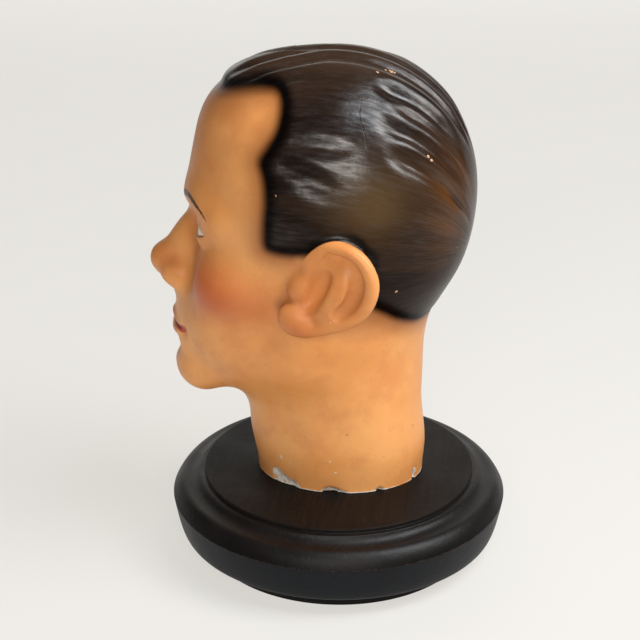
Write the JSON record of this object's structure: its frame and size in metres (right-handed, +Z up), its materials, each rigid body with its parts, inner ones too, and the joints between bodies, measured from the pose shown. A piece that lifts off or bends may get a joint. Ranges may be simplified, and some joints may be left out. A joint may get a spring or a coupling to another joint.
{
  "type": "head sculpture",
  "caption": "Life-size painted plaster head of a person with slicked-back dark hair, standing on a round turned black plinth.",
  "frame": {"origin": "middle of the plinth's underside, on the surface it stands on", "axes": "+Z up, the face towards -Y, the head's left ear towards +X"},
  "size_m": [0.2286, 0.2414, 0.3522],
  "materials": {
    "painted_plaster": "satin hand-painted plaster, flesh colour with dark hair",
    "ebonised_wood": "satin black stain and wax"
  },
  "bodies": {
    "root": {"head": "painted_plaster", "plinth": "ebonised_wood"}
  },
  "joints": []
}
